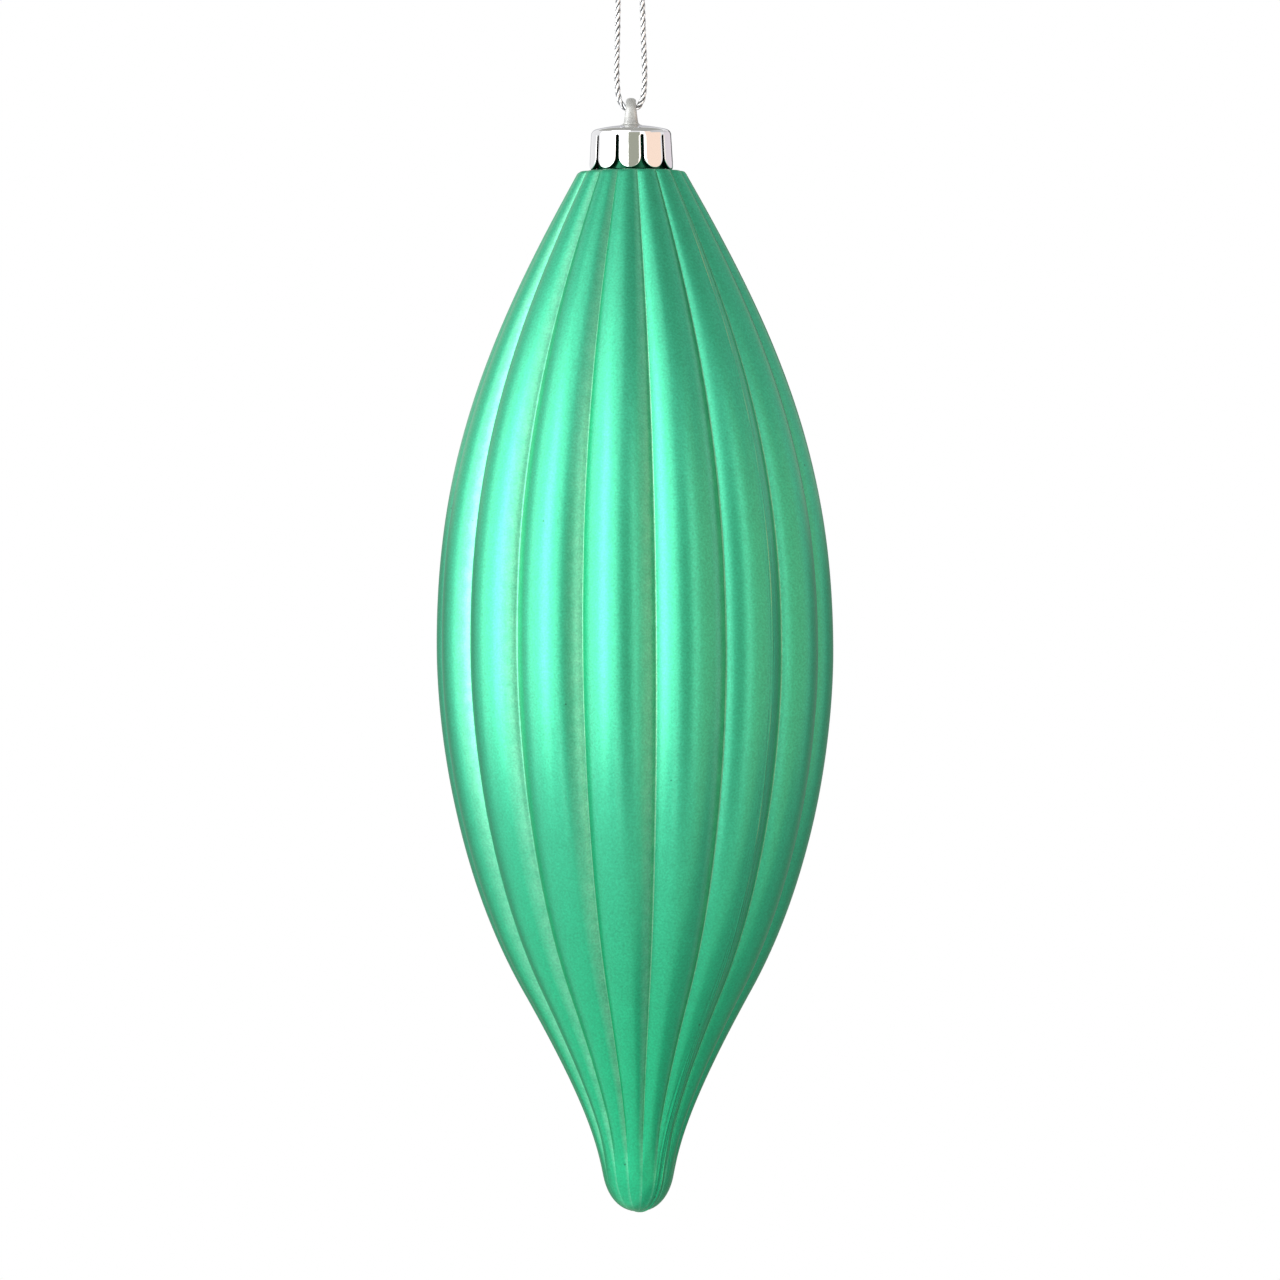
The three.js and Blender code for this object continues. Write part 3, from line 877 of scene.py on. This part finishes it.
# How far a point of the laid-out skirt is from the nearest edge of a slot or fingertip
def fromSlot(across, up):
    beside = abs((across + halfPitch) % (2 * halfPitch) - halfPitch)
    if up >= cap["slotCentreUp"]:
        return math.hypot(halfPitch - beside, up - cap["slotCentreUp"]) - cap["slotWidth"] / 2
    if up >= tipCentreUp:
        return halfFinger - beside
    return halfFinger - math.hypot(beside, up - tipCentreUp)


# How deep the skin lies at a point, because the edges are rounded over
def roundedDepth(across, up):
    size = cap["edgeRound"]
    inside = min(max(fromSlot(across, up), 0), size)
    return size - math.sqrt(size ** 2 - (size - inside) ** 2)


# Lays a grid on the flat skirt, where place gives the point for a column and a row
def layGrid(bm, columns, rows, place):
    grid = bmesh.ops.create_grid(bm, x_segments=columns, y_segments=rows, size=0.5)["verts"]
    for vert in grid:
        across, up = place(round((vert.co.x + 0.5) * columns), round((vert.co.y + 0.5) * rows))
        vert.co = (across, roundedDepth(across, up), up)


def layOneFinger(bm):
    roundAngles = [math.pi / 2 * (i + 1) / cap["roundSteps"] for i in range(cap["roundSteps"])]
    face = halfFinger - cap["edgeRound"]
    columns = [face * i / cap["faceSteps"] for i in range(cap["faceSteps"] + 1)]
    columns += [face + cap["edgeRound"] * math.sin(a) for a in roundAngles]
    crowding = cap["crownCrowding"]
    crownShares = [(i / cap["crownSteps"]) ** crowding for i in range(cap["crownSteps"], 0, -1)]
    crownHeight = cap["joinUp"] - cap["slotCentreUp"]
    ups = [cap["slotCentreUp"] + share * crownHeight for share in crownShares]
    straight = (cap["slotCentreUp"] - tipCentreUp) / cap["straightSteps"]
    ups += [cap["slotCentreUp"] - straight * i for i in range(cap["straightSteps"])]

    # Columns run from the finger's middle to its edge, and rows down one edge, round the tip and up
    def onFinger(column, row):
        reach = columns[column]
        last = 2 * len(ups) + cap["tipSteps"]
        if row < len(ups):
            return -reach, ups[row]
        if row > last - len(ups):
            return reach, ups[last - row]
        turn = math.pi * (row - len(ups)) / cap["tipSteps"]
        return -reach * math.cos(turn), tipCentreUp - reach * math.sin(turn)

    def overSlot(column, row):
        turn = math.pi * (column / cap["slotSteps"] - 0.5)
        beside = cap["slotWidth"] / 2 * math.sin(turn)
        low = cap["slotCentreUp"] + cap["slotWidth"] / 2 * math.cos(turn)
        share = (row / cap["crownSteps"]) ** crowding
        return halfPitch + beside, low + share * (cap["joinUp"] - low)

    layGrid(bm, len(columns) - 1, 2 * len(ups) + cap["tipSteps"], onFinger)
    layGrid(bm, cap["slotSteps"], cap["crownSteps"], overSlot)
    bmesh.ops.remove_doubles(bm, verts=bm.verts, dist=weld)


def wrapCap(bm):
    for vert in bm.verts:
        radius, height, outR, outZ = capSkin(vert.co.z)
        depth = vert.co.y
        turn = math.radians(cap["slotPhase"]) + (vert.co.x - halfPitch) / cap["bottomRadius"]
        radius -= depth * outR
        vert.co = (radius * math.sin(turn), -radius * math.cos(turn), height - depth * outZ)


# The skirt laid out flat: the skin, its inside and the slots' sides of one finger, then all of them
def makeSkirt():
    bm = bmesh.new()
    layOneFinger(bm)
    outer = list(bm.faces)
    copied = bmesh.ops.duplicate(bm, geom=outer)["geom"]
    inner = [f for f in copied if isinstance(f, bmesh.types.BMFace)]
    for vert in {v for f in inner for v in f.verts}:
        vert.co.y = cap["wall"]
    sideEdges = [e for f in outer for e in f.edges if e.is_boundary
                 and all(fromSlot(v.co.x, v.co.z) < 10 * weld for v in e.verts)]
    grown = bmesh.ops.extrude_edge_only(bm, edges=list(set(sideEdges)))["geom"]
    for vert in (v for v in grown if isinstance(v, bmesh.types.BMVert)):
        vert.co.y = cap["wall"]
    bmesh.ops.remove_doubles(bm, verts=bm.verts, dist=weld)
    one = bm.verts[:] + bm.edges[:] + bm.faces[:]
    for i in range(1, cap["fingers"]):
        copied = bmesh.ops.duplicate(bm, geom=one)["geom"]
        moved = [v for v in copied if isinstance(v, bmesh.types.BMVert)]
        bmesh.ops.translate(bm, vec=(2 * halfPitch * i, 0, 0), verts=moved)
    return bm


# Grows the skin from the skirt's top nearly to the middle of the dome
def growDome(bm):
    top = [e for e in bm.edges if e.is_boundary and all(v.co.y < tiny for v in e.verts)]
    edge = cap["joinUp"]
    while capSkin(edge)[0] > cap["domeHole"]:
        edge += cap["domeSearch"]
    for i in range(1, cap["domeSteps"] + 1):
        grown = bmesh.ops.extrude_edge_only(bm, edges=top)["geom"]
        top = [e for e in grown if isinstance(e, bmesh.types.BMEdge)]
        top = [e for e in top if e.is_boundary and len({v for v in e.verts if v in grown}) == 2]
        share = (i / cap["domeSteps"]) ** cap["domeCrowding"]
        for vert in {v for e in top for v in e.verts}:
            vert.co.z = cap["joinUp"] + share * (edge - cap["joinUp"])


def makeCap():
    bm = makeSkirt()
    growDome(bm)
    # Faces deep in the slots and inside take the near-black finish: painted shade
    insideFrom = cap["insideDepth"] * cap["edgeRound"]
    for face in bm.faces:
        face.material_index = 1 if all(v.co.y > insideFrom for v in face.verts) else 0
    wrapCap(bm)
    bmesh.ops.remove_doubles(bm, verts=bm.verts, dist=2 * weld)
    # The two rings still open are the dome's middle and the top of the skirt's inside
    rings = [e for e in bm.edges if e.is_boundary]
    bmesh.ops.holes_fill(bm, edges=rings, sides=0)
    bmesh.ops.recalc_face_normals(bm, faces=bm.faces)
    bmesh.ops.scale(bm, vec=(mm, mm, mm), verts=bm.verts)
    return finishPiece(bm, "slotted_cap", [mirrorMaterial, shadedInsideMaterial], "cap",
                       "hanger_cap", cap["sharpAngle"])


capPiece = makeCap()
print("cap wrapped,", len(capPiece.data.polygons), "faces")


# Eyelet: a ring seen edge-on from the front, of flattened section, broader towards the dome, where
# it flares out in a fillet
eyelet = {
    "hole": 3.2,
    "barDepth": 1.35,
    "barWidth": 1.85,
    "baseWidth": 2.75,
    "squareness": 2.5,
    "flare": 0.6,
    "sectionSteps": 32,
    "ringSteps": 128,
}


def makeEyelet():
    half = eyelet["barDepth"] / 2
    ringRadius = eyelet["hole"] / 2 + half
    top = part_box("hanger_cap")[1].z / mm
    centre = Vector((0, 0, top - half - ringRadius))
    bm = bmesh.new()
    section = bmesh.ops.create_circle(bm, segments=eyelet["sectionSteps"], radius=1)["verts"]
    for vert in section:
        power = eyelet["squareness"]
        vert.co *= half / (abs(vert.co.x) ** power + abs(vert.co.y) ** power) ** (1 / power)
    edges = list({e for v in section for e in v.link_edges})
    bmesh.ops.rotate(bm, cent=(0, 0, 0), matrix=Matrix.Rotation(math.pi / 2, 3, "X"), verts=section)
    bmesh.ops.translate(bm, vec=centre + Vector((0, 0, ringRadius)), verts=section)
    bmesh.ops.spin(bm, geom=section + edges, cent=centre, axis=(1, 0, 0), angle=2 * math.pi,
                   steps=eyelet["ringSteps"], use_merge=True)
    bmesh.ops.remove_doubles(bm, verts=bm.verts, dist=weld)
    flare = eyelet["flare"]
    for vert in bm.verts:
        down = (top - vert.co.z) / (top - domeTop)
        width = eyelet["barWidth"] + (eyelet["baseWidth"] - eyelet["barWidth"]) * down ** 2
        vert.co.x *= width / (2 * half)
        above = vert.co.z - domeTop + cap["domeCurve"] * (vert.co.x ** 2 + vert.co.y ** 2)
        legOut = math.sqrt(max(ringRadius ** 2 - (vert.co.z - centre.z) ** 2, 0))
        away = Vector((vert.co.x, vert.co.y - math.copysign(legOut, vert.co.y)))
        if above < flare and away.length > tiny:
            inside = flare - max(above, 0)
            away = away.normalized() * (flare - math.sqrt(flare ** 2 - inside ** 2))
            vert.co.x += away.x
            vert.co.y += away.y
    bmesh.ops.recalc_face_normals(bm, faces=bm.faces)
    bmesh.ops.scale(bm, vec=(mm, mm, mm), verts=bm.verts)
    finishPiece(bm, "eyelet", [rubbedMaterial], "cap", "hanger_cap")


makeEyelet()
print("eyelet made")


# Studio, with its lengths in metres. A lamp or card stands at an azimuth (0 is the camera, positive
# towards +X), an elevation and a distance from the middle of the body, and is turned towards it.
studio = {
    "middle": (0, 0, -0.12),
    "ambient": 0.85,
    "overhead": 60,
    "floorBelow": 0.9,
    "floorSize": 6,
    "floorCells": 4,
    "floorColour": "#ededeb",
    "floorGlow": 0.4,
    "lamps": [
        # name, azimuth, elevation, distance, width, height, radiance, colour
        ("wide softbox", -53, 2, 1.1, 2.2, 1.85, 1.85, "#ffffff"),
        ("core softbox", -46, 8, 1.0, 0.36, 1.15, 2.8, "#ffffff"),
        ("top softbox", -36, 54, 1.0, 0.8, 0.6, 1.5, "#ffffff"),
        ("fill strip", 43, 5, 1.6, 1.0, 1.4, 1.4, "#fff6ee"),
    ],
    "cards": [
        # name, azimuth, elevation, distance, width, height, radiance, colour
        ("olive card", 9, 2, 1.7, 1.3, 1.2, 1.0, "#b0b3a2"),
        ("peach card", 68, 5, 1.2, 1.2, 1.4, 1.2, "#ffe4d0"),
        ("lilac card", 130, 5, 1.2, 1.0, 1.4, 0.88, "#fff6fb"),
        ("back card", 180, 5, 1.2, 0.8, 1.4, 0.6, "#fafaff"),
        ("right edge flag", 163, 0, 0.9, 0.32, 0.8, 0.15, "#ffffff"),
        ("right flag", 150, -22, 0.42, 0.7, 0.43, 0.38, "#ffffff"),
        ("upper flag", 100, 45, 1.1, 1.3, 0.8, 0.7, "#ffffff"),
        ("left flag", -145, -22, 0.42, 0.36, 0.43, 0.4, "#ffffff"),
        ("left floor card", -60, -60, 0.55, 1.0, 1.1, 1.05, "#ffffff"),
        ("right floor card", 110, -60, 0.55, 1.0, 1.1, 0.5, "#ffffff"),
        ("ceiling card", 0, 90, 0.9, 1.8, 1.8, 0.5, "#f4f4ec"),
    ],
}


# White to the camera and in what the finishes mirror, and a little less as light on the object
def makeWorld():
    world = bpy.data.worlds.new("studio")
    bpy.context.scene.world = world
    world.use_nodes = True
    tree = world.node_tree
    tree.nodes.clear()
    rays = addNode(tree, "LightPath").outputs
    seen = rays["Is Camera Ray"]
    for kind in ("Is Glossy Ray", "Is Transmission Ray"):
        larger = addNode(tree, "Math", {"operation": "MAXIMUM"}, {0: seen, 1: rays[kind]})
        seen = larger.outputs["Value"]
    light = addNode(tree, "Background", {}, {
        "Color": (1, 1, 1, 1), "Strength": remap(tree, seen, (0, 1), (studio["ambient"], 1))})
    addNode(tree, "OutputWorld", {}, {"Surface": light.outputs["Background"]})


# Puts a lamp or a card in its place, where the camera doesn't see it
def faceMiddle(thing, azimuth, elevation, distance):
    turn = math.radians(azimuth)
    rise = math.radians(elevation)
    level = math.cos(rise)
    towards = Vector((math.sin(turn) * level, -math.cos(turn) * level, math.sin(rise)))
    thing.location = Vector(studio["middle"]) + towards * distance
    # Lamps and cards stand upright, unless they are nearly overhead or underfoot
    if abs(elevation) < studio["overhead"]:
        towards.z = 0
    thing.rotation_euler = towards.to_track_quat("Z", "Y").to_euler()
    thing.visible_camera = False
    bpy.context.scene.collection.objects.link(thing)


# An area lamp, whose power follows from its radiance and its size
def addLamp(name, azimuth, elevation, distance, width, height, radiance, colour):
    data = bpy.data.lights.new(name, "AREA")
    data.shape = "RECTANGLE"
    data.size = width
    data.size_y = height
    data.energy = radiance * math.pi * width * height
    data.color = linear(colour)[:3]
    faceMiddle(bpy.data.objects.new(name, data), azimuth, elevation, distance)


def stageMesh(bm, name, material):
    mesh = bpy.data.meshes.new(name)
    bm.to_mesh(mesh)
    bm.free()
    mesh.materials.append(material)
    return bpy.data.objects.new(name, mesh)


# A card is a dim glowing sheet that the camera doesn't see, for the finishes to mirror
def addCard(name, azimuth, elevation, distance, width, height, radiance, colour):
    material, tree = newMaterial(name)
    glow = addNode(tree, "Emission", {}, {"Color": linear(colour), "Strength": radiance})
    addNode(tree, "OutputMaterial", {}, {"Surface": glow.outputs["Emission"]})
    bm = bmesh.new()
    bmesh.ops.create_grid(bm, x_segments=1, y_segments=1, size=0.5)
    bmesh.ops.scale(bm, vec=(width, height, 1), verts=bm.verts)
    card = stageMesh(bm, name, material)
    faceMiddle(card, azimuth, elevation, distance)
    card.visible_shadow = abs(elevation) < studio["overhead"]


# White paper: it stays white to the camera, darkened only where it is shaded
def makeFloor():
    material, tree = newMaterial("white paper floor")
    rays = addNode(tree, "LightPath").outputs
    paper = addNode(tree, "BsdfDiffuse", {}, {"Color": linear(studio["floorColour"])})
    level = multiply(tree, rays["Is Camera Ray"], studio["floorGlow"])
    glow = addNode(tree, "Emission", {}, {"Color": (1, 1, 1, 1), "Strength": level})
    both = addNode(tree, "AddShader", {}, {0: paper.outputs["BSDF"], 1: glow.outputs["Emission"]})
    addNode(tree, "OutputMaterial", {}, {"Surface": both.outputs["Shader"]})
    bm = bmesh.new()
    bmesh.ops.create_grid(bm, x_segments=studio["floorCells"], y_segments=studio["floorCells"],
                          size=studio["floorSize"])
    bmesh.ops.translate(bm, vec=(0, 0, -studio["floorBelow"]), verts=bm.verts)
    floor = stageMesh(bm, "floor", material)
    bpy.context.scene.collection.objects.link(floor)


makeWorld()
makeFloor()
for lamp in studio["lamps"]:
    addLamp(*lamp)
for card in studio["cards"]:
    addCard(*card)
bpy.context.scene.view_settings.view_transform = "Standard"
print("studio lit")
